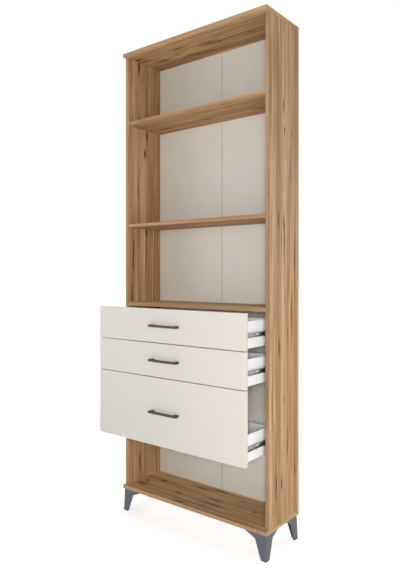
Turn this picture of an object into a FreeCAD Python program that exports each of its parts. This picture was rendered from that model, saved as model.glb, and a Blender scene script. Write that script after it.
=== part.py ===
import FreeCAD, Part

import os
import re

import Sketcher

# Tall open bookcase with three pull-out drawers.
# Frame: X across (0 in the middle), Y from front (-) to rear (+), Z up from the floor.
# The drawers stand partly open; Y = 0 is the middle of the overall depth in that state.

SIZES = [
    # carcass
    ("width", 770),
    ("side_depth", 239),
    ("board", 16),
    ("front_stand_off", 2),
    ("foot_height", 100),
    ("niche_height", 280),
    ("lower_bay", 346),
    ("middle_bay", 458),
    ("upper_bay", 299),
    ("edge_round", 1),
    ("back_sheet", 3),
    ("back_inset", 14),
    ("back_groove_deep", 6),
    ("back_seam_offset", 7),
    ("back_seam_gap", 1.2),
    ("seam_strip_width", 40),
    ("sheet_play", 0.4),
    ("dowel_diameter", 8),
    ("dowel_length", 30),
    ("dowel_in_face", 10),
    ("dowel_inset", 40),
    # drawer fronts and boxes
    ("front_board", 16),
    ("front_small", 137),
    ("front_tall", 276),
    ("front_gap", 3),
    ("front_reveal", 1.5),
    ("front_overlap", 5),
    ("box_board", 12),
    ("box_height", 100),
    ("box_lift", 3),
    ("box_rear_room", 14),
    ("bottom_sheet", 3),
    ("bottom_raise", 12),
    ("bottom_groove_deep", 5),
    # ball-bearing slides
    ("slide_space", 12),
    ("slide_sheet", 1),
    ("slide_height", 25.4),
    ("slide_setback", 2),
    ("slide_end_margin", 6),
    ("slide_drop", 2),
    ("slide_overlap", 50),
    ("pull_reserve", 6),
    ("race_radius", 1.75),
    ("race_lip", 0.4),
    ("race_groove", 0.3),
    ("race_play", 0.15),
    ("ball_rows", 2),
    ("ball_pitch", 24),
    ("ball_play", 0.1),
    ("cage_sheet", 0.4),
    ("cage_off_web", 0.9),
    ("cage_margin", 2),
    ("window_off_web", 0.05),
    ("flange_off_cage", 0.6),
    ("slide_hole", 4.2),
    ("member_hole_inset", 22),
    ("access_hole", 7),
    ("access_hole_inset", 60),
    ("spare_hole_inset", 81),
    ("slot_inset", 103),
    ("slot_stretch", 18),
    ("stop_width", 6),
    ("stop_reach", 2.2),
    ("screw_diameter", 3.5),
    ("screw_bite", 10),
    ("screw_head", 7),
    ("pan_head", 2),
    # handles
    ("handle_pitch", 128),
    ("handle_post", 19),
    ("handle_projection", 24),
    ("handle_height", 9),
    ("handle_bar", 8),
    ("handle_corner", 4),
    ("handle_inner_corner", 3),
    ("handle_edge", 1.5),
    ("handle_screw", 4),
    ("handle_screw_play", 0.1),
    ("handle_screw_bite", 12),
    ("handle_screw_end_gap", 0.5),
    ("handle_screw_head", 8),
    ("handle_screw_head_high", 2.5),
    # feet
    ("foot_inset", 6),
    ("foot_sheet", 2),
    ("foot_lean", 3.5),
    ("foot_lip", 6),
    ("foot_tip", 25),
    ("foot_knee", 49),
    ("foot_knee_drop", 24),
    ("foot_reach", 103),
    ("foot_plate", 60),
    ("glide_high", 3),
]

doc = FreeCAD.newDocument("Bookcase")
sheet = doc.addObject("Spreadsheet::Sheet", "Sizes")
for row, (alias, value) in enumerate(SIZES, start=1):
    sheet.set("A%d" % row, alias)
    sheet.set("B%d" % row, str(value))
    sheet.setAlias("B%d" % row, alias)
doc.recompute()

ALIASES = {alias for alias, value in SIZES}
SAME = 0.01  # lengths closer than this count as equal
X_AXIS = FreeCAD.Vector(1, 0, 0)
Y_AXIS = FreeCAD.Vector(0, 1, 0)
Z_AXIS = FreeCAD.Vector(0, 0, 1)
EIGHTH = 45  # degrees
nodes = []


# ---------------------------------------------------------------- helpers

def bound(text):
    """The expression with each size's alias pointed at the spreadsheet."""
    return re.sub(r"[a-z_]+", lambda word: "Sizes." + word.group()
                  if word.group() in ALIASES else word.group(), text)


def measure(text):
    """The number that an expression gives now."""
    return float(sheet.evalExpression(bound(text)))


def bind(item, prop, text):
    item.setExpression(prop, bound(text))


def place(item, x, y, z):
    for axis, text in zip("xyz", (x, y, z)):
        bind(item, "Placement.Base." + axis, text)


def keep(item):
    """Mark an object as one sub-part of the bookcase, exported under its label."""
    nodes.append(item)


def new_body(label, x="0", y="0", z="0"):
    body = doc.addObject("PartDesign::Body", label)
    body.Label = label
    body.AllowCompound = True
    place(body, x, y, z)
    return body


def new_sketch(body, role, x="0", y="0", lift="0"):
    """A sketch on one of the body's origin planes; x and y lie in the sketch, lift is its normal."""
    sketch = body.newObject("Sketcher::SketchObject", body.Label + "_sketch")
    plane = [item for item in body.Origin.OriginFeatures if item.Role == role][0]
    sketch.AttachmentSupport = [(plane, "")]
    sketch.MapMode = "FlatFace"
    for axis, text in zip("xyz", (x, y, lift)):
        bind(sketch, "AttachmentOffset.Base." + axis, text)
    return sketch


def dimension(sketch, kind, *references, text):
    """A driving dimension of the sketch, bound to an expression."""
    value = measure(text)
    number = sketch.addConstraint(Sketcher.Constraint(kind, *references, value))
    bind(sketch, "Constraints[%d]" % number, text)


def polygon(sketch, points):
    """A closed outline of straight edges; each corner is a pair of expressions."""
    values = [FreeCAD.Vector(measure(x), measure(y), 0) for x, y in points]
    count = len(points)
    for index in range(count):
        line = Part.LineSegment(values[index], values[(index + 1) % count])
        sketch.addGeometry(line, False)
    for index in range(count):
        following = (index + 1) % count
        sketch.addConstraint(Sketcher.Constraint("Coincident", index, 2, following, 1))
    for index, (x, y) in enumerate(points):
        for kind, axis, text in (("DistanceX", -2, x), ("DistanceY", -1, y)):
            if text == "0":
                sketch.addConstraint(Sketcher.Constraint("PointOnObject", index, 1, axis))
            else:
                dimension(sketch, kind, -1, 1, index, 1, text=text)


def rectangle(sketch, wide, high):
    polygon(sketch, [("0", "0"), (wide, "0"), (wide, high), ("0", high)])


def octagon(sketch, across, stretch="0"):
    """A regular outline of eight sides about the sketch's origin, given across its flats.

    A stretch draws it out along the sketch's first axis, into a slot that much longer.
    """
    flat = f"(({across}) / 2)"
    side = f"({flat} * (sqrt(2) - 1))"
    end = f"({flat} + ({stretch}) / 2)"
    bend = f"({side} + ({stretch}) / 2)"
    polygon(sketch, [(end, side), (bend, flat), (f"-{bend}", flat), (f"-{end}", side),
                     (f"-{end}", f"-{side}"), (f"-{bend}", f"-{flat}"), (bend, f"-{flat}"),
                     (end, f"-{side}")])


def circle(sketch, diameter):
    round_line = Part.Circle(FreeCAD.Vector(0, 0, 0), FreeCAD.Vector(0, 0, 1), 1)
    sketch.addGeometry(round_line, False)
    sketch.addConstraint(Sketcher.Constraint("Coincident", 0, 3, -1, 1))
    dimension(sketch, "Diameter", 0, text=diameter)


def pad(body, sketch, length, reverse=False):
    feature = body.newObject("PartDesign::Pad", body.Label + "_pad")
    feature.Profile = sketch
    feature.Reversed = reverse
    bind(feature, "Length", length)
    doc.recompute()


def pocket(body, sketch, length, reverse=False):
    """Cut the sketch into the body, against the sketch's normal, or along it if reversed."""
    before = body.Shape.Volume
    feature = body.newObject("PartDesign::Pocket", body.Label + "_pocket")
    feature.Profile = sketch
    feature.Reversed = reverse
    bind(feature, "Length", length)
    doc.recompute()
    if not body.Shape.Volume < before:
        raise RuntimeError(feature.Label + " cuts nothing")
    return feature


def repeat(body, feature, sketch, axis, length, count):
    """Repeat a feature along one of its sketch's axes; length is from first to last."""
    pattern = body.newObject("PartDesign::LinearPattern", body.Label + "_pattern")
    pattern.Originals = [feature]
    pattern.Direction = (sketch, [axis])
    pattern.Occurrences = count
    bind(pattern, "Length", length)
    body.Tip = pattern
    doc.recompute()


def dress_edges(body, kind, size, wanted):
    """Round (Fillet) or bevel (Chamfer) the edges for which wanted(edge) is true."""
    base = body.Tip
    names = ["Edge%d" % number for number, edge in enumerate(base.Shape.Edges, start=1)
             if wanted(edge)]
    if not names:
        raise RuntimeError(body.Label + " has no edge to dress")
    feature = body.newObject("PartDesign::" + kind, body.Label + "_edges")
    feature.Base = (base, names)
    bind(feature, {"Fillet": "Radius", "Chamfer": "Size"}[kind], size)
    doc.recompute()


def fillet(body, radius, wanted):
    dress_edges(body, "Fillet", radius, wanted)


def along(edge, axis):
    """Whether a straight edge runs along the axis, 0 for X, 1 for Y, 2 for Z."""
    size = edge.BoundBox
    lengths = [size.XLength, size.YLength, size.ZLength]
    return lengths[axis] > SAME and sum(lengths) - lengths[axis] < SAME


def middle(edge):
    return edge.BoundBox.Center


def near(value, target):
    return abs(value - target) < SAME


def slab(label, x, y, z, wide, deep, high):
    """A plain board from its low corner."""
    body = new_body(label, x, y, z)
    outline = new_sketch(body, "XY_Plane")
    rectangle(outline, wide, deep)
    pad(body, outline, high)
    return body


def ease_front(body, length_axis):
    """Round the long front edges of a board, where its edge band is trimmed."""
    fillet(body, "edge_round", lambda edge: along(edge, length_axis) and near(middle(edge).y, 0))


def cylinder(name, diameter, length, x, y, z, direction):
    """A round bar; direction is the axis that it runs along."""
    bar = doc.addObject("Part::Cylinder", name)
    bind(bar, "Radius", f"({diameter}) / 2")
    bind(bar, "Height", length)
    turn = FreeCAD.Rotation(Z_AXIS, direction)
    bar.Placement = FreeCAD.Placement(FreeCAD.Vector(0, 0, 0), turn)
    place(bar, x, y, z)
    return bar


def octagonal_bar(name, diameter, length, x, y, z, direction):
    """A bar with eight flat sides inside its diameter, for round stock that is out of sight."""
    bar = doc.addObject("Part::Prism", name)
    bar.Polygon = 8
    bind(bar, "Circumradius", f"({diameter}) / 2")
    bind(bar, "Height", length)
    turn = FreeCAD.Rotation(Z_AXIS, direction).multiply(FreeCAD.Rotation(Z_AXIS, EIGHTH / 2))
    bar.Placement = FreeCAD.Placement(FreeCAD.Vector(0, 0, 0), turn)
    place(bar, x, y, z)
    return bar


def group(label, items):
    """Several loose solids of one kind, kept as one sub-part."""
    compound = doc.addObject("Part::Compound", label)
    compound.Label = label
    compound.Links = items
    return compound


def joined(name, items):
    fused = doc.addObject("Part::MultiFuse", name)
    fused.Shapes = items
    return fused


def mirrored(label, source):
    """The same piece for the other side of the bookcase, across X = 0."""
    item = doc.addObject("Part::Mirroring", label)
    item.Label = label
    item.Source = source
    item.Normal = (1, 0, 0)
    item.Base = (0, 0, 0)
    return item


# ---------------------------------------------------------------- derived places

HALF = "(width / 2)"
INNER = "(width - 2 * board)"
INNER_HALF = "(width / 2 - board)"
INNER_DEPTH = "(side_depth - back_inset - back_sheet)"
OVERHANG = "(front_board + front_stand_off)"

BOX_LENGTH = f"({INNER_DEPTH} - box_rear_room + front_stand_off)"
SLIDE_LENGTH = f"({INNER_DEPTH} - box_rear_room - slide_end_margin - slide_setback)"
TRAVEL = f"({SLIDE_LENGTH} - slide_overlap)"
OPENING = f"({TRAVEL} - pull_reserve)"

# the front edge of the side panels
SIDE_FRONT = f"(({OVERHANG} + {OPENING} + handle_projection - side_depth) / 2)"
PANEL_FRONT = f"({SIDE_FRONT} - {OVERHANG})"
BACK_FACE = f"({SIDE_FRONT} + {INNER_DEPTH})"

FLOOR = "(foot_height + board)"
FRONT_LOW = {3: f"({FLOOR} + niche_height)"}
FRONT_LOW[2] = f"({FRONT_LOW[3]} + front_tall + front_gap)"
FRONT_LOW[1] = f"({FRONT_LOW[2]} + front_small + front_gap)"
FRONT_HIGH = {1: "front_small", 2: "front_small", 3: "front_tall"}
SHELF_LOW = {"shelf_drawer_top": f"({FRONT_LOW[1]} + front_small - front_overlap)"}
SHELF_LOW["shelf_middle"] = f"({SHELF_LOW['shelf_drawer_top']} + board + lower_bay)"
SHELF_LOW["shelf_upper"] = f"({SHELF_LOW['shelf_middle']} + board + middle_bay)"
CEILING = f"({SHELF_LOW['shelf_upper']} + board + upper_bay)"
SIDE_HEIGHT = f"({CEILING} - {FLOOR})"


# ---------------------------------------------------------------- carcass

def end_panel(label, low, top_side):
    """The bottom or the top panel; top_side says that its joints are on its upper face."""
    deep = f"(side_depth + {OVERHANG})"
    panel = slab(label, f"-{HALF}", PANEL_FRONT, low, "width", deep, "board")
    lift = "board" if top_side else "0"
    groove = new_sketch(panel, "XY_Plane", "board - back_groove_deep",
                        f"{OVERHANG} + {INNER_DEPTH} - sheet_play / 2", lift)
    rectangle(groove, f"{INNER} + 2 * back_groove_deep", "back_sheet + sheet_play")
    pocket(panel, groove, "back_groove_deep", reverse=not top_side)
    ease_front(panel, 0)
    keep(panel)


def side_panel():
    """The left side, grooved along its rear edge for the back."""
    panel = slab("side_panel_left", f"-{HALF}", SIDE_FRONT, FLOOR, "board", "side_depth",
                 SIDE_HEIGHT)
    groove = new_sketch(panel, "YZ_Plane", f"{INNER_DEPTH} - sheet_play / 2", "0", "board")
    rectangle(groove, "back_sheet + sheet_play", SIDE_HEIGHT)
    pocket(panel, groove, "back_groove_deep")
    ease_front(panel, 2)
    keep(panel)
    keep(mirrored("side_panel_right", panel))


def shelf(label, low):
    deep = f"({INNER_DEPTH} - sheet_play)"
    panel = slab(label, f"-{INNER_HALF}", SIDE_FRONT, low, INNER, deep, "board")
    ease_front(panel, 0)
    keep(panel)


def carcass_dowels():
    """The glued dowels that join the boards: upright in the corners, level at the shelves."""
    dowels = []
    for along_y in ("dowel_inset", "side_depth - dowel_inset"):
        deep = f"{SIDE_FRONT} + {along_y}"
        for across in (f"{HALF} - board / 2", f"board / 2 - {HALF}"):
            low_end = f"{FLOOR} - dowel_in_face"
            high_end = f"{CEILING} + dowel_in_face - dowel_length"
            for up in (low_end, high_end):
                dowels.append(octagonal_bar("dowel", "dowel_diameter", "dowel_length",
                                            across, deep, up, Z_AXIS))
        for low in SHELF_LOW.values():
            for across in (f"-{INNER_HALF} - dowel_in_face",
                           f"{INNER_HALF} + dowel_in_face - dowel_length"):
                dowels.append(octagonal_bar("dowel", "dowel_diameter", "dowel_length",
                                            across, deep, f"{low} + board / 2", X_AXIS))
    keep(group("carcass_dowels", dowels))


def back_panels():
    """Two thin sheets in the grooves and the strip that covers their seam from behind."""
    tuck = "(back_groove_deep - sheet_play)"
    low = f"{FLOOR} - {tuck}"
    high = f"{SIDE_HEIGHT} + 2 * {tuck}"
    left_end = f"-{INNER_HALF} - {tuck}"
    left_wide = f"{INNER_HALF} + {tuck} + back_seam_offset - back_seam_gap / 2"
    right_start = "back_seam_offset + back_seam_gap / 2"
    right_wide = f"{INNER_HALF} + {tuck} - back_seam_offset - back_seam_gap / 2"
    keep(slab("back_panel_left", left_end, BACK_FACE, low, left_wide, "back_sheet", high))
    keep(slab("back_panel_right", right_start, BACK_FACE, low, right_wide, "back_sheet", high))
    keep(slab("back_seam_strip", "back_seam_offset - seam_strip_width / 2",
              f"{BACK_FACE} + back_sheet", FLOOR, "seam_strip_width", "back_sheet", SIDE_HEIGHT))


# ---------------------------------------------------------------- feet

KNEE_LEVEL = "(foot_height - foot_knee_drop)"


def foot_wedge(body, kind, levels, near_inset, far_insets):
    """A block whose square section changes from the first level to the second.

    A level is (height, far side); its near side follows the foot's outward lean.
    """
    feature = body.newObject("PartDesign::" + kind, body.Label + "_wedge")
    for number, (height, far), far_inset in zip(("", "2"), levels, far_insets):
        near_side = f"{near_inset} - foot_lean * (1 - ({height}) / foot_height)"
        for axis in "XZ":
            bind(feature, f"{axis}{number}min", near_side)
            bind(feature, f"{axis}{number}max", f"{far} - {far_inset}")
    bind(feature, "Ymin", levels[0][0])
    bind(feature, "Ymax", levels[1][0])
    upright = FreeCAD.Rotation(FreeCAD.Vector(1, 1, 1), 120)
    feature.Placement = FreeCAD.Placement(FreeCAD.Vector(0, 0, 0), upright)
    doc.recompute()


def foot_block(body, kind, corner, wide, high, lift):
    feature = body.newObject("PartDesign::" + kind, body.Label + "_block")
    for prop, text in (("Length", wide), ("Width", wide), ("Height", high)):
        bind(feature, prop, text)
    place(feature, corner, corner, lift)
    doc.recompute()


def foot_body(label):
    """A pressed-steel foot: two flanges in an L that lean outwards and flare into a collar.

    The free edges of both flanges are turned in, and a plate for the screws closes the top.
    """
    body = new_body(label)
    tip = ("glide_high", "foot_tip - foot_lean")
    knee = (KNEE_LEVEL, "foot_knee")
    collar = ("foot_height", "foot_reach")
    slope = "((foot_reach - foot_knee) / foot_knee_drop)"
    collar_inset = f"foot_sheet * sqrt(1 + {slope} * {slope})"
    foot_wedge(body, "AdditiveWedge", (tip, knee), "0", ("0", "0"))
    foot_wedge(body, "AdditiveWedge", (knee, collar), "0", ("0", "0"))
    foot_wedge(body, "SubtractiveWedge", (tip, knee), "foot_sheet", ("foot_sheet", "foot_sheet"))
    foot_wedge(body, "SubtractiveWedge", (knee, collar), "foot_sheet",
               (collar_inset, collar_inset))
    foot_block(body, "SubtractiveBox", "foot_lip", "foot_reach", "foot_height", "0")
    foot_block(body, "AdditiveBox", "foot_sheet / 2", "foot_plate", "foot_sheet",
               "foot_height - foot_sheet")

    sheet_now = measure("foot_sheet")

    def is_corner(edge):
        size = edge.BoundBox
        return size.ZLength > sheet_now and size.XMax < SAME and size.YMax < SAME

    fillet(body, "foot_sheet", is_corner)
    return body


def feet():
    """Four equal feet, each turned a quarter further, with a plastic glide under each."""
    corners = [
        ("foot_front_left", f"-{HALF} + foot_inset", f"{PANEL_FRONT} + foot_inset", 0),
        ("foot_front_right", f"{HALF} - foot_inset", f"{PANEL_FRONT} + foot_inset", 90),
        ("foot_rear_right", f"{HALF} - foot_inset", f"{SIDE_FRONT} + side_depth - foot_inset", 180),
        ("foot_rear_left", f"-{HALF} + foot_inset", f"{SIDE_FRONT} + side_depth - foot_inset", 270),
    ]
    glides = []
    for label, x, y, angle in corners:
        foot = foot_body(label)
        glide = new_body(label.replace("foot", "glide"))
        outline = new_sketch(glide, "XY_Plane", "-foot_lean", "-foot_lean")
        arm = "foot_lip + foot_lean"
        polygon(outline, [("0", "0"), ("foot_tip", "0"), ("foot_tip", arm), (arm, arm),
                          (arm, "foot_tip"), ("0", "foot_tip")])
        pad(glide, outline, "glide_high")
        for item in (foot, glide):
            item.Placement = FreeCAD.Placement(FreeCAD.Vector(0, 0, 0),
                                               FreeCAD.Rotation(Z_AXIS, angle))
            place(item, x, y, "0")
        keep(foot)
        glides.append(glide)
    keep(group("foot_glides", glides))


# ---------------------------------------------------------------- drawer slides

BALL_RADIUS = "(race_radius - race_play)"
BALL_OFF = "(race_radius + slide_sheet)"
FLANGE_LOW = f"({BALL_OFF} + race_radius - race_groove)"
CAGE_ACROSS = "(slide_sheet + cage_off_web)"
CAGE_WEB = f"({CAGE_ACROSS} + cage_sheet)"
CAGE_LENGTH = "(slide_overlap - 2 * slide_sheet - 2 * cage_margin)"
WINDOW_HALF = f"({BALL_RADIUS} + ball_play)"
BALL_ACROSS = f"({CAGE_WEB} + window_off_web + {WINDOW_HALF})"
SLIDE_DEPTH = f"({BALL_ACROSS} + {BALL_OFF})"
FLANGE_END = f"({CAGE_WEB} + flange_off_cage)"
MEMBER_LENGTH = f"({SLIDE_LENGTH} - 2 * slide_sheet)"
SLIDE_FRONT = f"({SIDE_FRONT} + slide_setback)"
HALF_HIGH = "(slide_height / 2)"


def slide_low(number):
    return f"({FRONT_LOW[number]} + box_lift + (box_height - slide_height) / 2 - slide_drop)"


def cabinet_slide(number):
    """The fixed member: a C channel whose two rolled edges are the outer races."""
    body = new_body("cabinet_slide_%d" % number, f"-{INNER_HALF}", SLIDE_FRONT, slide_low(number))
    lip = f"({BALL_OFF} + race_lip)"
    inside = f"({SLIDE_DEPTH} - slide_sheet)"
    top = "(slide_height - slide_sheet)"
    outline = new_sketch(body, "XZ_Plane")
    polygon(outline, [
        ("0", "0"), (SLIDE_DEPTH, "0"), (SLIDE_DEPTH, lip), (inside, lip),
        (inside, "slide_sheet"), ("slide_sheet", "slide_sheet"), ("slide_sheet", top),
        (inside, top), (inside, f"slide_height - {lip}"), (SLIDE_DEPTH, f"slide_height - {lip}"),
        (SLIDE_DEPTH, "slide_height"), ("0", "slide_height")])
    pad(body, outline, SLIDE_LENGTH, reverse=True)
    deep, high, sheet_now = map(measure, (SLIDE_DEPTH, "slide_height", "slide_sheet"))

    def is_corner(edge, inset):
        point = middle(edge)
        return (along(edge, 1)
                and (near(point.x, inset) or near(point.x, deep - inset))
                and (near(point.z, inset) or near(point.z, high - inset)))

    fillet(body, BALL_OFF, lambda edge: is_corner(edge, 0))
    fillet(body, "race_radius", lambda edge: is_corner(edge, sheet_now))
    rear_stop = new_sketch(body, "XZ_Plane", "0", f"{HALF_HIGH} - stop_width / 2",
                           f"-({SLIDE_LENGTH} - slide_sheet)")
    rectangle(rear_stop, "slide_space - slide_sheet / 2", "stop_width")
    pad(body, rear_stop, "slide_sheet", reverse=True)
    front_stop = new_sketch(body, "XZ_Plane", "0", f"{HALF_HIGH} - stop_width / 2")
    rectangle(front_stop, "slide_sheet + stop_reach", "stop_width")
    pad(body, front_stop, "slide_sheet", reverse=True)
    return body


def drawer_slide(number):
    """The moving member: a smaller C channel, grooved outside for the inner races."""
    body = new_body("drawer_slide_%d" % number, f"-{INNER_HALF}", f"{SLIDE_FRONT} - {OPENING}",
                    slide_low(number))
    low, high = FLANGE_LOW, f"(slide_height - {FLANGE_LOW})"
    web = "(slide_space - slide_sheet)"
    outline = new_sketch(body, "XZ_Plane")
    polygon(outline, [
        (FLANGE_END, low), ("slide_space", low), ("slide_space", high), (FLANGE_END, high),
        (FLANGE_END, f"{high} - slide_sheet"), (web, f"{high} - slide_sheet"),
        (web, f"{low} + slide_sheet"), (FLANGE_END, f"{low} + slide_sheet")])
    pad(body, outline, MEMBER_LENGTH, reverse=True)
    space, low_now, high_now = measure("slide_space"), measure(low), measure(high)
    fillet(body, "2 * slide_sheet", lambda edge: along(edge, 1) and near(middle(edge).x, space)
           and (near(middle(edge).z, low_now) or near(middle(edge).z, high_now)))
    for level in (BALL_OFF, f"slide_height - {BALL_OFF}"):
        race = new_sketch(body, "XZ_Plane", BALL_ACROSS, level)
        circle(race, "2 * race_radius")
        pocket(body, race, MEMBER_LENGTH)
    for inset, across, stretch in (("access_hole_inset", "access_hole", "0"),
                                   ("spare_hole_inset", "slide_hole", "0"),
                                   ("slot_inset", "slide_hole", "slot_stretch")):
        opening = new_sketch(body, "YZ_Plane", inset, HALF_HIGH, "slide_space")
        octagon(opening, across, stretch)
        pocket(body, opening, "slide_sheet")
    hole = new_sketch(body, "YZ_Plane", "member_hole_inset", HALF_HIGH, "slide_space")
    octagon(hole, "slide_hole")
    first = pocket(body, hole, "slide_sheet")
    repeat(body, first, hole, "H_Axis", f"{MEMBER_LENGTH} - 2 * member_hole_inset", 2)
    tab = new_sketch(body, "XZ_Plane", f"{CAGE_ACROSS} + cage_sheet / 4",
                     f"{HALF_HIGH} + screw_head / 2 + race_lip",
                     f"-({MEMBER_LENGTH} - slide_sheet)")
    rectangle(tab, f"slide_space - {CAGE_ACROSS} - cage_sheet / 4",
              f"{high} - slide_sheet / 2 - {HALF_HIGH} - screw_head / 2 - race_lip")
    pad(body, tab, "slide_sheet", reverse=True)
    return body


def bearing_ball(x, y, z):
    """A ball drawn with 26 flat faces inside its true radius: three crossed octagonal bars."""
    flat = f"({BALL_RADIUS} / sqrt(1 + 2 * (sqrt(2) - 1) * (sqrt(2) - 1)))"
    bars = []
    for direction in (X_AXIS, Y_AXIS, Z_AXIS):
        start = [f"{text} - {flat}" if part else text
                 for text, part in zip((x, y, z), direction)]
        bars.append(octagonal_bar("ball_bar", f"2 * {flat} / cos({EIGHTH / 2})", f"2 * {flat}",
                                  *start, direction))
    ball = doc.addObject("Part::MultiCommon", "ball")
    ball.Shapes = bars
    return ball


def ball_cage(number):
    """The thin C strip that spaces the balls, and its balls."""
    start = f"{SLIDE_FRONT} + cage_margin + pull_reserve / 2"
    body = new_body("cage_strip_%d" % number, f"-{INNER_HALF}", start, slide_low(number))
    low, high = f"({BALL_OFF} - cage_sheet / 2)", f"(slide_height - {BALL_OFF} + cage_sheet / 2)"
    rim = f"({SLIDE_DEPTH} - slide_sheet - 2 * ball_play)"
    outline = new_sketch(body, "XZ_Plane")
    polygon(outline, [
        (CAGE_ACROSS, low), (rim, low), (rim, f"{low} + cage_sheet"),
        (CAGE_WEB, f"{low} + cage_sheet"), (CAGE_WEB, f"{high} - cage_sheet"),
        (rim, f"{high} - cage_sheet"), (rim, high), (CAGE_ACROSS, high)])
    pad(body, outline, CAGE_LENGTH, reverse=True)
    rows = int(measure("ball_rows"))
    first_ball = f"({CAGE_LENGTH} / 2 - ball_pitch * {rows - 1} / 2)"
    hole = new_sketch(body, "XY_Plane", f"{BALL_ACROSS} - {WINDOW_HALF}",
                      f"{first_ball} - {WINDOW_HALF}", "slide_height")
    rectangle(hole, f"2 * {WINDOW_HALF}", f"2 * {WINDOW_HALF}")
    first = pocket(body, hole, "slide_height")
    repeat(body, first, hole, "V_Axis", f"ball_pitch * {rows - 1}", rows)
    balls = []
    for index in range(rows):
        for level in (BALL_OFF, f"slide_height - {BALL_OFF}"):
            balls.append(bearing_ball(f"-{INNER_HALF} + {BALL_ACROSS}",
                                      f"{start} + {first_ball} + ball_pitch * {index}",
                                      f"{slide_low(number)} + {level}"))
    return group("cage_and_balls_%d" % number, [body] + balls)


def wood_screw(seat, y, z):
    """A pan-head screw driven along X; seat is where the underside of its head lies."""
    head = cylinder("screw_top", "screw_head", "pan_head", f"{seat} - pan_head", y, z, X_AXIS)
    shank = octagonal_bar("screw_shank", "screw_diameter", "screw_bite + pan_head / 2",
                          f"{seat} - pan_head / 2", y, z, X_AXIS)
    return joined("wood_screw", [head, shank])


def slides(number):
    """One drawer's pair of slides, its ball cages and the screws in the drawer's members."""
    for label, source in (("cabinet_slides", cabinet_slide(number)),
                          ("drawer_slides", drawer_slide(number)),
                          ("ball_cages", ball_cage(number))):
        other = mirrored(source.Label + "_mirrored", source)
        keep(group("%s_%d" % (label, number), [source, other]))
    level = f"{slide_low(number)} + {HALF_HIGH}"
    screws = []
    for offset in ("member_hole_inset", f"{MEMBER_LENGTH} - member_hole_inset"):
        screw = wood_screw(f"slide_space - slide_sheet - {INNER_HALF}",
                           f"{SLIDE_FRONT} - {OPENING} + {offset}", level)
        screws += [screw, mirrored("wood_screw_mirrored", screw)]
    keep(group("slide_screws_%d" % number, screws))


# ---------------------------------------------------------------- drawers

BOX_HALF = f"({INNER_HALF} - slide_space)"
BOX_FRONT = f"({SIDE_FRONT} - front_stand_off - {OPENING})"
FRONT_FACE = f"({BOX_FRONT} - front_board)"


def drawer_front(number):
    """The full-overlay front, bored for the handle and grooved for the box bottom."""
    low = FRONT_LOW[number]
    high = FRONT_HIGH[number]
    wide = "(width - 2 * front_reveal)"
    body = slab("drawer_front_%d" % number, "front_reveal - width / 2", FRONT_FACE, low,
                wide, "front_board", high)
    fillet(body, "edge_round", lambda edge: near(middle(edge).y, 0) and not along(edge, 1))
    middle_x = f"{wide} / 2"
    groove_half = f"({BOX_HALF} - box_board + bottom_groove_deep)"
    groove = new_sketch(body, "XZ_Plane", f"{middle_x} - {groove_half}",
                        "box_lift + bottom_raise - sheet_play / 2", "-front_board")
    rectangle(groove, f"2 * {groove_half}", "bottom_sheet + sheet_play")
    pocket(body, groove, "bottom_groove_deep", reverse=True)
    screw_hole = new_sketch(body, "XZ_Plane", f"{middle_x} - handle_pitch / 2",
                            f"{high} / 2", "-front_board")
    octagon(screw_hole, "handle_screw + 2 * handle_screw_play")
    first = pocket(body, screw_hole, "front_board", reverse=True)
    repeat(body, first, screw_hole, "H_Axis", "handle_pitch", 2)
    keep(body)


def drawer_side(number):
    """The left box side with its groove for the bottom."""
    low = f"({FRONT_LOW[number]} + box_lift)"
    body = slab("drawer_side_left_%d" % number, f"-{BOX_HALF}", BOX_FRONT, low, "box_board",
                BOX_LENGTH, "box_height")
    groove = new_sketch(body, "YZ_Plane", "0", "bottom_raise - sheet_play / 2", "box_board")
    rectangle(groove, BOX_LENGTH, "bottom_sheet + sheet_play")
    pocket(body, groove, "bottom_groove_deep")
    keep(body)
    keep(mirrored("drawer_side_right_%d" % number, body))


def drawer_inside(number):
    """The box back, which stands on the bottom's rear edge, and the bottom sheet."""
    low = f"({FRONT_LOW[number]} + box_lift)"
    above = "(bottom_raise + bottom_sheet)"
    inside = f"({BOX_HALF} - box_board)"
    keep(slab("drawer_back_%d" % number, f"-{inside}", f"{BOX_FRONT} + {BOX_LENGTH} - box_board",
              f"{low} + {above}", f"2 * {inside}", "box_board", f"box_height - {above}"))
    tuck = "(bottom_groove_deep - sheet_play)"
    keep(slab("drawer_bottom_%d" % number, f"-{inside} - {tuck}", f"{BOX_FRONT} - {tuck}",
              f"{low} + bottom_raise", f"2 * ({inside} + {tuck})", f"{BOX_LENGTH} + {tuck}",
              "bottom_sheet"))


HANDLE_LENGTH = "(handle_pitch + handle_post)"


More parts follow.
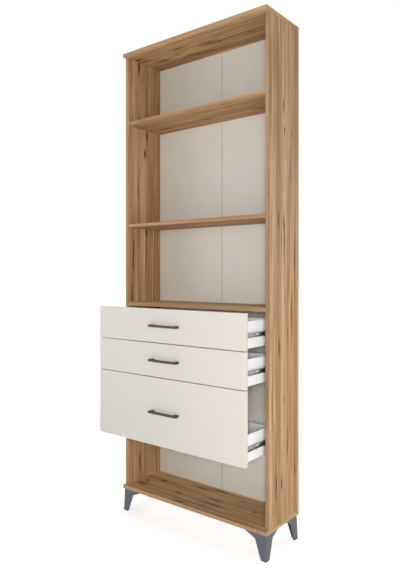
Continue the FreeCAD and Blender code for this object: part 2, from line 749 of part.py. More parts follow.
def handle(number):
    """A cast bow handle with rounded corners, and its two screws through the front."""
    level = f"({FRONT_LOW[number]} + {FRONT_HIGH[number]} / 2)"
    body = new_body("handle_%d" % number, f"-{HANDLE_LENGTH} / 2",
                    f"{FRONT_FACE} - handle_projection", f"{level} - handle_height / 2")
    outline = new_sketch(body, "XY_Plane")
    polygon(outline, [
        ("0", "0"), (HANDLE_LENGTH, "0"), (HANDLE_LENGTH, "handle_projection"),
        ("handle_pitch", "handle_projection"), ("handle_pitch", "handle_bar"),
        ("handle_post", "handle_bar"), ("handle_post", "handle_projection"),
        ("0", "handle_projection")])
    pad(body, outline, "handle_height")
    bar_now, top_now = measure("handle_bar"), measure("handle_height")
    fillet(body, "handle_corner", lambda edge: along(edge, 2) and near(middle(edge).y, 0))
    fillet(body, "handle_inner_corner",
           lambda edge: along(edge, 2) and near(middle(edge).y, bar_now))
    hole = new_sketch(body, "XZ_Plane", "handle_post / 2", "handle_height / 2", "-handle_projection")
    octagon(hole, "handle_screw + handle_screw_play")
    first = pocket(body, hole, "handle_screw_bite", reverse=True)
    repeat(body, first, hole, "H_Axis", "handle_pitch", 2)
    dress_edges(body, "Chamfer", "handle_edge", lambda edge: near(middle(edge).y, 0)
                and along(edge, 0) and (near(middle(edge).z, 0) or near(middle(edge).z, top_now)))
    keep(body)
    screws = []
    root = "handle_screw_head_high / 2"
    long = f"handle_screw_bite - handle_screw_end_gap + front_board + {root}"
    for across in ("-handle_pitch / 2", "handle_pitch / 2"):
        shank = octagonal_bar("handle_screw_shank", "handle_screw", long, across,
                              f"{BOX_FRONT} + {root}", level, -Y_AXIS)
        head = cylinder("handle_screw_top", "handle_screw_head", "handle_screw_head_high", across,
                        BOX_FRONT, level, Y_AXIS)
        screws.append(joined("handle_screw", [shank, head]))
    keep(group("handle_screws_%d" % number, screws))


# ---------------------------------------------------------------- assembly

end_panel("bottom_panel", "foot_height", True)
end_panel("top_panel", CEILING, False)
side_panel()
for shelf_label, shelf_low in SHELF_LOW.items():
    shelf(shelf_label, shelf_low)
carcass_dowels()
back_panels()
feet()
for drawer_number in (1, 2, 3):
    slides(drawer_number)
    drawer_front(drawer_number)
    drawer_side(drawer_number)
    drawer_inside(drawer_number)
    handle(drawer_number)

doc.recompute()
for item in doc.Objects:
    if "Invalid" in item.State or "Error" in item.State:
        raise RuntimeError("%s failed: %s" % (item.Label, item.State))
for item in nodes:
    if item.Shape.isNull() or not item.Shape.isValid():
        raise RuntimeError(item.Label + " has no valid shape")

os.makedirs("parts", exist_ok=True)
for item in nodes:
    item.Shape.exportStep(os.path.join("parts", item.Label + ".step"))
print("sub-parts:", len(nodes))
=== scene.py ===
import math

import bmesh
import bpy
from mathutils import Matrix, Vector


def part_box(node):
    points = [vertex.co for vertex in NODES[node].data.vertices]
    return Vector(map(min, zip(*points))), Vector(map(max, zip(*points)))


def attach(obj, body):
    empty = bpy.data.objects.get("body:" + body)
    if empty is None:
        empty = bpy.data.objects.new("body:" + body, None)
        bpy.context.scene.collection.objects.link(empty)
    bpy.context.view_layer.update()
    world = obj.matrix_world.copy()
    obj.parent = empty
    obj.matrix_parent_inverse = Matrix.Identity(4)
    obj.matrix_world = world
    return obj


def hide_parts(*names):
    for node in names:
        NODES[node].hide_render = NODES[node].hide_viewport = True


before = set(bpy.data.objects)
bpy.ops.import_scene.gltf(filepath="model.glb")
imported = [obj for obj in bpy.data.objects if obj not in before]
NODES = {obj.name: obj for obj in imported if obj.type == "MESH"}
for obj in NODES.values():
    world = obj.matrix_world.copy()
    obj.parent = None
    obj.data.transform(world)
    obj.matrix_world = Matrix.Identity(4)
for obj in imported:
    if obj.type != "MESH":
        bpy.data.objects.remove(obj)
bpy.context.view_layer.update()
DRAWERS = (1, 2, 3)
MM = 1000  # millimetres in a metre


# ---------------------------------------------------------------- camera and lamps

IMAGE_LONG = 570
FOCAL_PIXELS = 556.2
SENSOR = 36.0
CAMERA_SHIFT = (0.0143, -0.0194)
CAMERA_PLACE = (1.4765, -1.8626, 1.0935)
CAMERA_TURN = 38.626  # degrees

# place, target and size in metres, and power in watts; the first three stand on the camera's side
# and shine into the gap beside the drawers, and the last one is for the back
LAMPS = {
    "camera_side": ((2.95, -4.45, 1.6), (0, 0, 0.8), (0.8, 1.0), 30),
    "between": ((1.66, -2.18, 1.2), (0.1, 0, 0.65), (0.3, 0.4), 25),
    "gap": ((2.05, -2.15, 1.4), (0.1, 0, 0.75), (0.6, 0.9), 7),
    "right": ((3.5, -1.5, 0.8), (0, 0, 1.0), (2.5, 1.4), 10),
    "front": ((-0.4, -4.0, 0.9), (0, 0, 0.5), (3.0, 0.8), 6),
    "front_left": ((-3.5, -2.5, 0.55), (0, 0, 0.8), (2.2, 1.4), 32),
    "low_right": ((1.6, -0.4, 0.35), (0.3, 0, 0.4), (1.2, 0.5), 4),
    "top": ((0.3, -0.9, 4.6), (0, 0, 1.0), (2.5, 1.6), 38),
    "far_left": ((-4.0, 0.6, 1.6), (0, 0, 1.0), (2.2, 1.6), 20),
    "rear": ((0.8, 4.0, 1.8), (0, 0, 1.0), (3.5, 1.4), 70),
}


def make_camera():
    data = bpy.data.cameras.new("camera")
    data.sensor_width = SENSOR
    data.lens = FOCAL_PIXELS * SENSOR / IMAGE_LONG
    data.shift_x, data.shift_y = CAMERA_SHIFT
    camera = bpy.data.objects.new("camera", data)
    camera.location = CAMERA_PLACE
    camera.rotation_euler = (math.radians(90), 0, math.radians(CAMERA_TURN))
    bpy.context.scene.collection.objects.link(camera)
    bpy.context.scene.camera = camera


def make_lamp(name, place, target, size, power):
    data = bpy.data.lights.new(name, "AREA")
    data.shape = "RECTANGLE"
    data.size, data.size_y = size
    data.energy = power
    lamp = bpy.data.objects.new(name, data)
    lamp.location = place
    aim = Vector(target) - Vector(place)
    lamp.rotation_euler = aim.to_track_quat("-Z", "Y").to_euler()
    bpy.context.scene.collection.objects.link(lamp)


# ---------------------------------------------------------------- node helpers

# the Mix node's sockets that hold colours
MIX_FIRST = 6
MIX_SECOND = 7
MIX_RESULT = 2
# the middle of a noise's range
MIDDLE = 0.5
# a face looks along an axis where its normal has more than this of it
ALONG = 0.5
# how far each axis moves, as a share of the shift, when a noise is shifted to another part of it
SHIFT_SHARES = (1, 1.7, 0.6)
# a wide band of the wood fades out between these shares of its half width
BAND_FADE = (0.6, 1.3)


class Tree:
    """A short way to write a material's or the world's nodes."""

    def __init__(self, owner):
        owner.use_nodes = True
        self.tree = owner.node_tree
        self.tree.nodes.clear()

    def node(self, kind, inputs=None, **settings):
        """A node of this kind; inputs are the values or links of its sockets."""
        item = self.tree.nodes.new(kind)
        for key, value in settings.items():
            setattr(item, key, value)
        for key, value in (inputs or {}).items():
            self.feed(item.inputs[key], value)
        return item

    def feed(self, socket, value):
        """Links the value to the socket if it is another node's output, or else sets it."""
        if isinstance(value, bpy.types.NodeSocket):
            self.tree.links.new(value, socket)
        else:
            socket.default_value = value

    def finish(self, kind, shader):
        """Leads the shader to an output node of this kind."""
        output = self.node(kind)
        self.feed(output.inputs["Surface"], shader.outputs[0])

    def calc(self, operation, *values, clamp=False):
        """A Math node, of one value or two."""
        item = self.node("ShaderNodeMath", operation=operation, use_clamp=clamp)
        for socket, value in zip(item.inputs, values):
            self.feed(socket, value)
        return item.outputs[0]

    def vector(self, operation, first, second):
        item = self.node("ShaderNodeVectorMath", {0: first, 1: second}, operation=operation)
        return item.outputs[0]

    def length(self, vector):
        item = self.node("ShaderNodeVectorMath", {0: vector}, operation="LENGTH")
        return item.outputs["Value"]

    def split(self, vector):
        return self.node("ShaderNodeSeparateXYZ", {0: vector}).outputs

    def join(self, x, y, z):
        return self.node("ShaderNodeCombineXYZ", {"X": x, "Y": y, "Z": z}).outputs[0]

    def noise(self, place, scale=1.0, detail=2.0, rough=0.5, output="Fac"):
        item = self.node("ShaderNodeTexNoise", {"Vector": place, "Scale": scale, "Detail": detail,
                                                "Roughness": rough})
        return item.outputs[output]

    def ramp(self, factor, low, high):
        """0 at low, 1 at high, smooth between them and level beyond; high may be the smaller."""
        item = self.node("ShaderNodeMapRange", {"Value": factor, "From Min": low,
                                                "From Max": high}, interpolation_type="SMOOTHSTEP")
        return item.outputs["Result"]

    def mix(self, factor, first, second):
        """The first colour or vector where the factor is 0, the second where it is 1."""
        item = self.node("ShaderNodeMix", data_type="RGBA")
        self.feed(item.inputs["Factor"], factor)
        self.feed(item.inputs[MIX_FIRST], first)
        self.feed(item.inputs[MIX_SECOND], second)
        return item.outputs[MIX_RESULT]

    def tint(self, colour, factor, share, new):
        """The colour, with this share of new in it where the factor is 1 and none where it is 0."""
        return self.mix(self.calc("MULTIPLY", factor, share), colour, new)

    def stretch(self, place, across, along, shift=0.0):
        """The place for a noise this often a metre across and along the grain; shift picks another
        part of the noise."""
        scaled = self.vector("MULTIPLY", place, (across, across, along))
        return self.vector("ADD", scaled, tuple(share * shift for share in SHIFT_SHARES))

    def warp(self, place, often, reach):
        """The place, pushed to and fro by up to half of reach."""
        push = self.noise(self.vector("MULTIPLY", place, often), output="Color")
        push = self.vector("SUBTRACT", push, (MIDDLE, MIDDLE, MIDDLE))
        return self.vector("ADD", place, self.vector("MULTIPLY", push, reach))

    def bands(self, across, bands):
        """How dark the band is that the place across lies in, 0 outside them."""
        inner, outer = BAND_FADE
        real_and_painted_tone = 0.0
        for middle, half, dark in bands:
            apart = self.calc("ABSOLUTE", self.calc("SUBTRACT", across, middle / MM))
            inside = self.ramp(apart, outer * half / MM, inner * half / MM)
            real_and_painted_tone = self.calc("MAXIMUM", real_and_painted_tone, self.calc("MULTIPLY", inside, dark))
        return real_and_painted_tone

    def nearest(self, place, marks):
        """How far the closest mark is: 0 in its middle, 1 on its rim and more outside it."""
        closest = None
        for across, along, wide, tall in marks:
            scaled = self.vector("MULTIPLY", place, (MM / wide, 0, MM / tall))
            near = self.length(self.vector("ADD", scaled, (-across / wide, 0, -along / tall)))
            closest = self.calc("MINIMUM", closest, near) if closest else near
        return closest

    def seen(self):
        """1 for a ray from the camera, a reflection or glass, 0 for one that only carries light."""
        rays = self.node("ShaderNodeLightPath").outputs
        mirrored = self.calc("MAXIMUM", rays["Is Glossy Ray"], rays["Is Transmission Ray"])
        return self.calc("MAXIMUM", rays["Is Camera Ray"], mirrored)


def srgb(red, green, blue):
    """A colour given as it looks on screen, 0 to 255, as the linear one that nodes use."""
    def linear(value):
        value = value / 255
        return value / 12.92 if value <= 0.04045 else ((value + 0.055) / 1.055) ** 2.4
    return (linear(red), linear(green), linear(blue), 1)


def shaded(colour, share):
    """The colour at this share of its light."""
    return tuple(channel * share for channel in colour[:3]) + (1,)


def new_material(name):
    material = bpy.data.materials.new(name)
    return material, Tree(material)


def finish_material(tree, colour, rough, relief, depth, **constants):
    """A Principled surface. relief is the height of its bump, where 1 stands depth metres high;
    the constants are set on the shader's own sockets."""
    shader = tree.node("ShaderNodeBsdfPrincipled", {"Base Color": colour, "Roughness": rough})
    for name, value in constants.items():
        shader.inputs[name.replace("_", " ")].default_value = value
    bump = tree.node("ShaderNodeBump", {"Height": relief, "Strength": 1.0, "Distance": depth})
    tree.feed(shader.inputs["Normal"], bump.outputs[0])
    tree.finish("ShaderNodeOutputMaterial", shader)


# ---------------------------------------------------------------- stage

WHITE = (1, 1, 1, 1)
WORLD_LIGHT = 0.2
WORLD_SEEN = 1.0
FLOOR_SIZE = 60
FLOOR_COLOUR = (0.9, 0.9, 0.9, 1)
# the floor that is seen glows: less by the object, whose shadow falls there, and to white away from
# it. The glow grows between these distances from the middle, in metres
GLOW_NEAR = 0.55
GLOW_AWAY = 1.0
GLOW_GROWS = (0.8, 3.0)


def make_world():
    world = bpy.data.worlds.new("studio")
    bpy.context.scene.world = world
    tree = Tree(world)
    lighting = tree.node("ShaderNodeBackground", {"Color": WHITE, "Strength": WORLD_LIGHT})
    backdrop = tree.node("ShaderNodeBackground", {"Color": WHITE, "Strength": WORLD_SEEN})
    mixed = tree.node("ShaderNodeMixShader", {0: tree.seen(), 1: lighting.outputs[0],
                                              2: backdrop.outputs[0]})
    tree.finish("ShaderNodeOutputWorld", mixed)


def make_floor():
    bpy.ops.mesh.primitive_plane_add(size=FLOOR_SIZE, location=(0, 0, 0))
    floor = bpy.context.object
    floor.name = "floor"
    material, tree = new_material("floor")
    away = tree.ramp(tree.length(tree.node("ShaderNodeTexCoord").outputs["Object"]), *GLOW_GROWS)
    lift = tree.calc("ADD", GLOW_NEAR, tree.calc("MULTIPLY", away, GLOW_AWAY - GLOW_NEAR))
    glow = tree.node("ShaderNodeEmission", {
        "Color": WHITE, "Strength": tree.calc("MULTIPLY", tree.seen(), lift)})
    matt = tree.node("ShaderNodeBsdfDiffuse", {"Color": FLOOR_COLOUR})
    mixed = tree.node("ShaderNodeAddShader", {0: matt.outputs[0], 1: glow.outputs[0]})
    tree.finish("ShaderNodeOutputMaterial", mixed)
    floor.data.materials.append(material)


# ---------------------------------------------------------------- oak boards

# the nodes by the way that their grain runs
GRAIN = {
    "X": ("top_panel", "bottom_panel", "shelf_drawer_top", "shelf_middle", "shelf_upper"),
    "Z": ("side_panel_left", "side_panel_right"),
}

# the wide darker bands of some boards: the Y of their middle and their half width in mm, and how
# dark they are, from 0 to 1. The top panel's rear band is painted shade along the back, and the
# left side's rear band is partly its figure and partly painted shade deep in the carcass
BANDS_AND_SHADE = {
    "side_panel_right": ((-26, 5, 0.9), (6, 8, 0.5), (45, 24, 0.85), (120, 12, 0.3),
                         (148, 14, 0.4), (184, 16, 0.75)),
    # its rear band is partly the wood's figure, partly painted shade
    "side_panel_left": ((-8, 14, 0.4), (52, 16, 0.4), (100, 20, 0.35), (172, 48, 0.85)),
    # its rear band is painted shade along the back
    "top_panel": ((20, 30, 0.35), (190, 70, 0.85)),
    "bottom_panel": ((35, 26, 0.2),),
}

# how dark those boards are between their bands, and the ones where it is another number; the bottom
# panel's lighter tone is painted light on it
PLAIN_TONE = 0.15
TONES_AND_LIGHT = {"side_panel_left": 0.33, "bottom_panel": -0.2}

# the cracks and knots of each board: place across and along the grain, half width and half length,
# all in mm
MARKS = {
    "side_panel_right": ((85, 1762, 4, 20), (93, 1659, 3, 12), (90, 1292, 4.5, 30),
                         (90, 1210, 2.5, 85), (46, 1312, 4, 28), (141, 1508, 2.5, 35),
                         (177, 1170, 3.5, 90), (53, 803, 4.5, 30), (92, 599, 3, 13),
                         (151, 940, 3.5, 80), (119, 420, 4.5, 45), (30, 265, 4.5, 50),
                         (69, 266, 4, 18), (177, 298, 4, 22)),
    "side_panel_left": ((45, 2075, 7, 28), (100, 1757, 5, 20), (86, 1668, 5, 18),
                        (41, 1487, 3, 28), (95, 1290, 5.5, 26), (95, 1200, 3, 75),
                        (8, 1180, 3.5, 75), (-2, 1005, 3.5, 40), (52, 196, 3.5, 38)),
    "top_panel": ((26, -353, 7, 18), (57, -335, 5, 22), (102, -268, 7, 28), (36, -119, 5, 30),
                  (130, -109, 4, 30), (141, -48, 5, 60), (66, 14, 5, 40), (82, 51, 5, 50)),
    "shelf_upper": ((121, -5, 5, 14), (126, 263, 7, 22), (-14, 175, 3, 30), (12, 29, 3, 40),
                    (128, -271, 6, 22), (-23, -265, 3, 22)),
    "bottom_panel": ((25, -327, 8, 20), (109, -269, 7, 16), (64, -331, 6, 10), (44, -126, 6, 16),
                     (81, 50, 6, 30), (149, -75, 5, 45), (169, 15, 5, 40), (34, 65, 6, 45),
                     (76, 252, 4, 8), (-24, -58, 6, 20)),
    "shelf_middle": ((150, -180, 5, 30), (40, 120, 4, 20)),
    "shelf_drawer_top": ((20, -60, 4, 25), (120, 210, 5, 20)),
}

# colours; where there are two, they are by the way of the grain
OAK_LIGHT = srgb(210, 174, 128)
OAK_DARK = {"X": srgb(167, 126, 92), "Z": srgb(163, 127, 93)}
FINE_COLOUR = srgb(122, 90, 62)
CHECK_COLOUR = srgb(92, 63, 41)
HALO_COLOUR = srgb(140, 95, 56)
CORE_COLOUR = srgb(82, 48, 24)
STRIP_COLOUR = {"X": srgb(166, 136, 105), "Z": srgb(154, 131, 105)}
CHIPS_DARK = srgb(128, 98, 66)
CHIPS_LIGHT = srgb(206, 178, 136)

# the share of each colour that is laid over the ones before it
FINE_SHARE = 0.25
CHECK_SHARE = 0.7
HALO_SHARE = 0.5
CORE_SHARE = {"X": 0.55, "Z": 0.8}
STRIP_SHARE = 0.55

# noises along the grain: how often a metre across and along it, and for some the shift to another
# part of the noise
FIGURE = (17, 0.9, 3.1)
CLOUDS = (20, 1.2, 3.1)
FINE = (520, 7.0)
CHECK_ZONES = (9, 1.6, 9.1)
CHECKS = (140, 12.0, 5.9)
RAGS = (260, 30)

# where each kind of figure starts and where it is full
FIGURE_RANGE = (0.36, 0.62)
FINE_RANGE = (0.45, 0.75)
ZONE_RANGE = (0.53, 0.6)
CHECK_RANGE = (0.66, 0.71)
CHIPS_RANGE = (0.35, 0.65)
CLOUD_DEPTH = 0.9  # how much the clouds change the tone of a board that has bands

# how often a metre a place is pushed to and fro, and the reach of that in metres: for the grain,
# and for the marks
WANDER = ((3.0, 3.0, 1.4), (0.03, 0.03, 0))
CROOKED = ((30, 30, 16), (0.014, 0, 0.02))
# how much a mark's outline is roughened, and where its halo and its core start and are full
RAGGED = 0.9
HALO_RANGE = (3.0, 1.5)
CORE_RANGE = (1.6, 1.35)

# the depth of the relief in metres, the fine grain's part in it, and the gloss
OAK_DEPTH = 0.00012
FINE_RELIEF = 0.6
OAK_ROUGH = 0.48
FINE_ROUGH = 0.2
OAK_SPECULAR = 0.15

# streaks, from the wide ones to the thin ones: how often a metre across and along the grain, the
# shift, the noise's roughness, where they start and are full, their share, and their colour
STREAKS = (
    (62, 1.3, 7.3, 0.55, 0.5, 0.66, 0.6, srgb(148, 108, 72)),
    (85, 1.1, 12.9, 0.5, 0.54, 0.68, 0.6, srgb(226, 191, 147)),
    (150, 1.9, 21.7, 0.6, 0.5, 0.6, 0.5, srgb(130, 92, 60)),
)


def lay_grain(tree, place, facing, axis):
    """The place as across the grain, through the board, along the grain."""
    parts = tree.split(place)
    if axis == "Z":
        return tree.join(parts["Y"], parts["X"], parts["Z"])
    board = tree.join(parts["Y"], parts["Z"], parts["X"])
    # the strip glued on the end of a level board runs from front to rear
    strip = tree.join(parts["Z"], parts["X"], parts["Y"])
    on_end = tree.calc("GREATER_THAN", tree.calc("ABSOLUTE", facing["X"]), ALONG)
    return tree.mix(on_end, board, strip)


def oak_tone_shade_and_light(tree, grain, node):
    """How dark the wide figure of a board is, from 0 to 1, with painted shade and painted light in
    it for some boards.
    """
    if node not in BANDS_AND_SHADE:
        return tree.ramp(tree.noise(tree.stretch(grain, *FIGURE), detail=2.5), *FIGURE_RANGE)
    # bands and tones, some of them painted shade at the rear and painted light on the bottom panel
    real_and_painted_tone = tree.bands(tree.split(grain)["X"], BANDS_AND_SHADE[node])
    real_and_painted_tone = tree.calc("ADD", real_and_painted_tone, TONES_AND_LIGHT.get(node, PLAIN_TONE))
    cloud = tree.calc("SUBTRACT", tree.noise(tree.stretch(grain, *CLOUDS)), MIDDLE)
    return tree.calc("ADD", real_and_painted_tone, tree.calc("MULTIPLY", cloud, CLOUD_DEPTH), clamp=True)


def add_checks(tree, colour, grain):
    """Short dark checks, in some zones. Returns the colour, and where they are."""
    zone = tree.ramp(tree.noise(tree.stretch(grain, *CHECK_ZONES)), *ZONE_RANGE)
    checks = tree.ramp(tree.noise(tree.stretch(grain, *CHECKS)), *CHECK_RANGE)
    checks = tree.calc("MULTIPLY", checks, zone)
    return tree.tint(colour, checks, CHECK_SHARE, CHECK_COLOUR), checks


def add_marks(tree, colour, laid, marks, share):
    """The larger cracks and knots, crooked and ragged. Returns the colour, and where they are."""
    nearest = tree.nearest(tree.warp(laid, *CROOKED), marks)
    rags = tree.noise(tree.stretch(laid, *RAGS))
    nearest = tree.calc("ADD", nearest, tree.calc("MULTIPLY", rags, RAGGED))
    core = tree.ramp(nearest, *CORE_RANGE)
    colour = tree.tint(colour, tree.ramp(nearest, *HALO_RANGE), HALO_SHARE, HALO_COLOUR)
    return tree.tint(colour, core, share, CORE_COLOUR), core


def add_edges(tree, colour, place, facing, axis):
    """The strip on a front edge is darker than the faces; a rear edge has none and shows the
    chipboard."""
    in_front = tree.calc("LESS_THAN", facing["Y"], -ALONG)
    colour = tree.tint(colour, in_front, STRIP_SHARE, STRIP_COLOUR[axis])
    chips = tree.ramp(tree.noise(place, scale=420.0, detail=3.0, rough=0.75), *CHIPS_RANGE)
    chips = tree.mix(chips, CHIPS_DARK, CHIPS_LIGHT)
    return tree.mix(tree.calc("GREATER_THAN", facing["Y"], ALONG), colour, chips)


def oak(node, axis):
    """Oak-look melamine for one node; axis is the way its grain runs."""
    material, tree = new_material(f"oak_{node}")
    coordinates = tree.node("ShaderNodeTexCoord").outputs
    place = coordinates["Object"]
    facing = tree.split(coordinates["Normal"])
    laid = lay_grain(tree, place, facing, axis)
    # the grain wanders a little across the board
    grain = tree.warp(laid, *WANDER)

    colour = tree.mix(oak_tone_shade_and_light(tree, grain, node), OAK_LIGHT, OAK_DARK[axis])
    for across, along, shift, rough, start, full, share, streak in STREAKS:
        noise = tree.noise(tree.stretch(grain, across, along, shift), rough=rough)
        colour = tree.tint(colour, tree.ramp(noise, start, full), share, streak)
    fine = tree.noise(tree.stretch(grain, *FINE), detail=3.0, rough=0.6)
    colour = tree.tint(colour, tree.ramp(fine, *FINE_RANGE), FINE_SHARE, FINE_COLOUR)
    colour, checks = add_checks(tree, colour, grain)
    colour, marks = add_marks(tree, colour, laid, MARKS[node], CORE_SHARE[axis])
    colour = add_edges(tree, colour, place, facing, axis)

    cracked = tree.calc("MAXIMUM", checks, marks)
    relief = tree.calc("SUBTRACT", tree.calc("MULTIPLY", fine, FINE_RELIEF), cracked)
    rough = tree.calc("ADD", OAK_ROUGH, tree.calc("MULTIPLY", fine, FINE_ROUGH))
    finish_material(tree, colour, rough, relief, OAK_DEPTH, Specular_IOR_Level=OAK_SPECULAR)
    return material


# ---------------------------------------------------------------- other materials

# boards: the depth of their peel in metres, how much it changes the roughness, the gloss, and
# where their clouds start and are full
BOARD_DEPTH = 0.00004
PEEL_ROUGH = 0.1
BOARD_SPECULAR = 0.45
CLOUD_RANGE = (0.35, 0.65)
# a bare side: its colour, where that starts and is full, and the darker share of it elsewhere
HARDBOARD = srgb(150, 116, 82)
FIBRE_RANGE = (0.3, 0.7)
FIBRE_DARK = 0.72
# the joint of the back panels: its X and between which distances its line fades out, in metres; the
# line is partly the sheets' cut edges and partly painted shade of the gap
SEAM_PLACE = 0.007
SEAM_FADE = (0.0014, 0.002)
SEAM_EDGE_AND_SHADE_COLOUR = srgb(185, 178, 168)

# metals: how often a metre their fine marks lie, by X, Y and Z
EVEN = (700, 700, 700)
ROLLED = (900, 9, 900)
# how deep they are, in metres
METAL_DEPTH = 0.00003
PAINT_DEPTH = 0.00006
PLASTIC_DEPTH = 0.00003
# where they start and are full, how dark they are, and the share of that
WEAR_RANGE = (0.35, 0.7)
WEAR_DARK = 0.8
WEAR_SHARE = 0.7
# how much rougher a metal is in its clouds
METAL_CLOUD_ROUGH = 0.12


def board(name, face, raw=None, rough=0.45, mottle=0.08, seam=None):
    """Coated board or sheet; raw is the bare colour of the side that faces rear or down, mottle
    how much darker its clouds are. seam is the X of a joint, in metres, along which a darker
    line is painted, partly the sheets' cut edges and partly painted shade of the gap."""
    material, tree = new_material(name)
    coordinates = tree.node("ShaderNodeTexCoord").outputs
    place = coordinates["Object"]
    cloud = tree.noise(place, scale=14.0, detail=3.0)
    peel = tree.noise(place, scale=900.0)
    colour = tree.mix(tree.ramp(cloud, *CLOUD_RANGE), shaded(face, 1 - mottle), face)
    surface = tree.calc("ADD", rough - PEEL_ROUGH / 2, tree.calc("MULTIPLY", peel, PEEL_ROUGH))
    if raw:
        facing = tree.split(coordinates["Normal"])
        behind = tree.calc("MAXIMUM", tree.calc("GREATER_THAN", facing["Y"], ALONG),
                           tree.calc("LESS_THAN", facing["Z"], -ALONG))
        fibres = tree.noise(place, scale=260.0, detail=4.0, rough=0.7)
        bare = tree.mix(tree.ramp(fibres, *FIBRE_RANGE), shaded(raw, FIBRE_DARK), raw)
        colour = tree.mix(behind, colour, bare)
    # a darker line along the joint: partly the sheets' cut edges, partly painted shade of the gap
    if seam is not None:
        inner, outer = SEAM_FADE
        beside = tree.calc("ABSOLUTE", tree.calc("SUBTRACT", tree.split(place)["X"], seam))
        colour = tree.mix(tree.ramp(beside, outer, inner), colour, SEAM_EDGE_AND_SHADE_COLOUR)
    finish_material(tree, colour, surface, peel, BOARD_DEPTH, Specular_IOR_Level=BOARD_SPECULAR)
    return material


def metal(name, base, rough, often=EVEN, metallic=1.0, depth=METAL_DEPTH):
    """Zinc-plated or painted metal; often is how its fine marks lie."""
    material, tree = new_material(name)
    place = tree.node("ShaderNodeTexCoord").outputs["Object"]
    marks = tree.noise(tree.vector("MULTIPLY", place, often), detail=3.0, rough=0.6)
    cloud = tree.noise(place, scale=45.0)
    colour = tree.tint(base, tree.ramp(marks, *WEAR_RANGE), WEAR_SHARE, shaded(base, WEAR_DARK))
    surface = tree.calc("ADD", rough, tree.calc("MULTIPLY", cloud, METAL_CLOUD_ROUGH))
    finish_material(tree, colour, surface, marks, depth, Metallic=metallic)
    return material


def paint(name, base, rough, depth=PAINT_DEPTH):
    """Painted metal, or plastic."""
    return metal(name, base, rough, metallic=0.0, depth=depth)


def put(material, *nodes):
    """Gives the material to these CAD nodes."""
    for node in nodes:
        for slot in NODES[node].material_slots:
            slot.material = material


def numbered(*names):
    """The nodes of these names, of every drawer."""
    return [f"{name}_{drawer}" for name in names for drawer in DRAWERS]


def dress_carcass():
    for axis, nodes in GRAIN.items():
        for node in nodes:
            put(oak(node, axis), node)
    put(board("dowel_beech", srgb(205, 172, 128), rough=0.6), "carcass_dowels")
    put(board("back_coated", srgb(218, 214, 205), HARDBOARD, mottle=0.024, seam=SEAM_PLACE),
        "back_panel_left", "back_panel_right")
    # the strip's face, seen only through the joint, is painted dark as the shade in the gap; its
    # rear is bare hardboard
    put(board("strip_painted_shade_bare_rear", srgb(70, 60, 50), HARDBOARD, rough=0.7), "back_seam_strip")
    put(paint("foot_paint", srgb(85, 90, 100), rough=0.45),
        "foot_front_left", "foot_front_right", "foot_rear_right", "foot_rear_left")
    put(paint("glide_black", srgb(38, 38, 40), rough=0.6, depth=PLASTIC_DEPTH), "foot_glides")


def dress_drawers():
    put(board("front_cream", srgb(213, 208, 199), rough=0.4, mottle=0.008),
        *numbered("drawer_front"))
    put(board("box_white", srgb(240, 240, 239), rough=0.4, mottle=0.04),
        *numbered("drawer_side_left", "drawer_side_right", "drawer_back"))
    put(board("base_coated", srgb(224, 217, 206), HARDBOARD, rough=0.5),
        *numbered("drawer_bottom"))
    put(metal("zinc", srgb(154, 154, 152), rough=0.32, often=ROLLED),
        *numbered("cabinet_slides", "drawer_slides"))
    put(metal("cage_metal", srgb(160, 160, 158), rough=0.35, often=ROLLED),
        *numbered("ball_cages"))
    put(paint("anthracite", srgb(37, 40, 44), rough=0.42), *numbered("handle"))


# ---------------------------------------------------------------- screws

SEGMENTS = 32
# radius and length, in metres
SLIDE_HEAD = (0.0035, 0.002)
SLIDE_SHANK = (0.00174, 0.01)
HANDLE_HEAD = (0.004, 0.0025)
HANDLE_SHANK_RADIUS = 0.00199
# shares of the head's radius: its crowned rings, and the recess's arms
CROWN_RINGS = (0.06, 0.14, 0.22, 0.31, 0.4, 0.47, 0.56, 0.8)
ARM_HALF_WIDE = 0.11
ARM_LONG = 0.5
# shares of the head's height: how far the crown falls over a full radius, and how deep the recess is
CROWN_HIGH = 0.3
RECESS_DEEP = 0.6
# the rings of the head's rim, as shares of its height and its radius
RIM_RINGS = ((0.45, 0.96), (0.7, 1.0), (1.0, 1.0))
# shares of the shank's radius: the neck under the head, the thread's pitch, its root and how far
# before the end it stops, and the point's length and radius
NECK = 0.9
THREAD_PITCH = 0.45
THREAD_ROOT = 0.78
THREAD_STOP = 2.5
POINT_LONG = 2
POINT_WIDE = 0.8
SHARP_FROM = 35  # degrees


def screw_rings(head, shank):
    """The screw's outline from its crown to its point, as (depth, radius) of each ring."""
    head_radius, head_high = head
    shank_radius, shank_long = shank
    end = head_high + shank_long
    rings = [(CROWN_HIGH * head_high * share ** 2, share * head_radius) for share in CROWN_RINGS]
    rings += [(deep * head_high, wide * head_radius) for deep, wide in RIM_RINGS]
    rings.append((head_high, NECK * shank_radius))
    pitch = THREAD_PITCH * shank_radius
    along = head_high + pitch
    while along < end - THREAD_STOP * shank_radius:
        rings += [(along, THREAD_ROOT * shank_radius), (along + pitch / 2, shank_radius)]
        along += pitch
    rings.append((end - POINT_LONG * shank_radius, POINT_WIDE * shank_radius))
    return rings


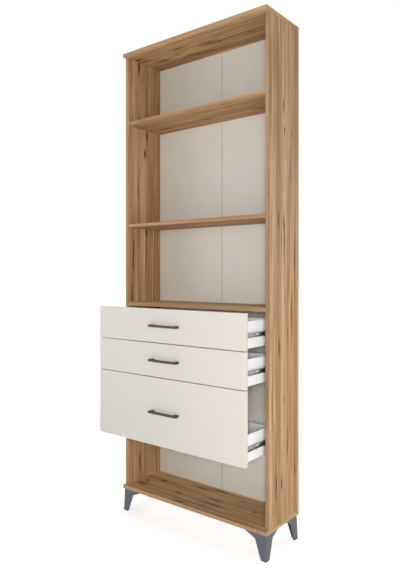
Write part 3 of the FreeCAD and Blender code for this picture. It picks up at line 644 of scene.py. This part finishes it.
def add_screw(mesh, outer, tip, head, shank):
    """A cross-recessed pan-head screw, closed; head and shank are (radius, length), tip a vector
    towards its point and outer the middle of its head's outer face."""
    head_radius, head_high = head
    turn = Vector(tip).to_track_quat("Z", "Y").to_matrix().to_4x4()
    place = Matrix.Translation(outer) @ turn

    def level(across, depth):
        on_arm = min(abs(across.x), abs(across.y)) < ARM_HALF_WIDE * head_radius
        inside = across.length < ARM_LONG * head_radius
        on_crown = depth < CROWN_HIGH * head_high
        return RECESS_DEEP * head_high if on_arm and inside and on_crown else depth

    loops = []
    for depth, radius in screw_rings(head, shank):
        loop = []
        for step in range(SEGMENTS):
            angle = 2 * math.pi * step / SEGMENTS
            across = Vector((radius * math.cos(angle), radius * math.sin(angle)))
            point = Vector((across.x, across.y, level(across, depth)))
            loop.append(mesh.verts.new(place @ point))
        loops.append(loop)
    start = mesh.verts.new(place @ Vector((0, 0, RECESS_DEEP * head_high)))
    end = mesh.verts.new(place @ Vector((0, 0, head_high + shank[1])))
    for step in range(SEGMENTS):
        after = (step + 1) % SEGMENTS
        mesh.faces.new((start, loops[0][after], loops[0][step]))
        mesh.faces.new((end, loops[-1][step], loops[-1][after]))
        for inner, outward in zip(loops, loops[1:]):
            mesh.faces.new((inner[step], inner[after], outward[after], outward[step]))


def screw_piece(name, node, drawer, screws, head, shank, material):
    """One object for all the screws that a CAD node holds."""
    mesh = bmesh.new()
    for outer, tip in screws:
        add_screw(mesh, outer, tip, head, shank)
    bmesh.ops.recalc_face_normals(mesh, faces=mesh.faces[:])
    data = bpy.data.meshes.new(name)
    mesh.to_mesh(data)
    mesh.free()
    data.shade_smooth()
    data.set_sharp_from_angle(angle=math.radians(SHARP_FROM))
    data.materials.append(material)
    piece = bpy.data.objects.new(name, data)
    bpy.context.scene.collection.objects.link(piece)
    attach(piece, f"drawer_{drawer}")
    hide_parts(node)


def make_slide_screws(drawer, material):
    """Two on each side of the drawer, their heads outside."""
    node = f"slide_screws_{drawer}"
    low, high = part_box(node)
    level = (low.z + high.z) / 2
    ends = (low.y + SLIDE_HEAD[0], high.y - SLIDE_HEAD[0])
    screws = [((side, along, level), (inward, 0, 0))
              for side, inward in ((low.x, 1), (high.x, -1)) for along in ends]
    screw_piece(f"slide_screws_cross_{drawer}", node, drawer, screws, SLIDE_HEAD, SLIDE_SHANK,
                material)


def make_handle_screws(drawer, material):
    """Two through the front from inside the drawer, as long as the CAD ones."""
    node = f"handle_screws_{drawer}"
    low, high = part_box(node)
    level = (low.z + high.z) / 2
    shank = (HANDLE_SHANK_RADIUS, high.y - low.y - HANDLE_HEAD[1])
    screws = [((across, high.y, level), (0, -1, 0))
              for across in (low.x + HANDLE_HEAD[0], high.x - HANDLE_HEAD[0])]
    screw_piece(f"handle_screws_cross_{drawer}", node, drawer, screws, HANDLE_HEAD, shank,
                material)


# ---------------------------------------------------------------- the scene

bpy.context.scene.view_settings.view_transform = "Standard"
make_camera()
make_world()
for lamp_name, lamp_facts in LAMPS.items():
    make_lamp(lamp_name, *lamp_facts)
make_floor()
dress_carcass()
dress_drawers()
screw_metal = metal("screw_metal", srgb(186, 187, 188), rough=0.3)
for number in DRAWERS:
    make_slide_screws(number, screw_metal)
    make_handle_screws(number, screw_metal)
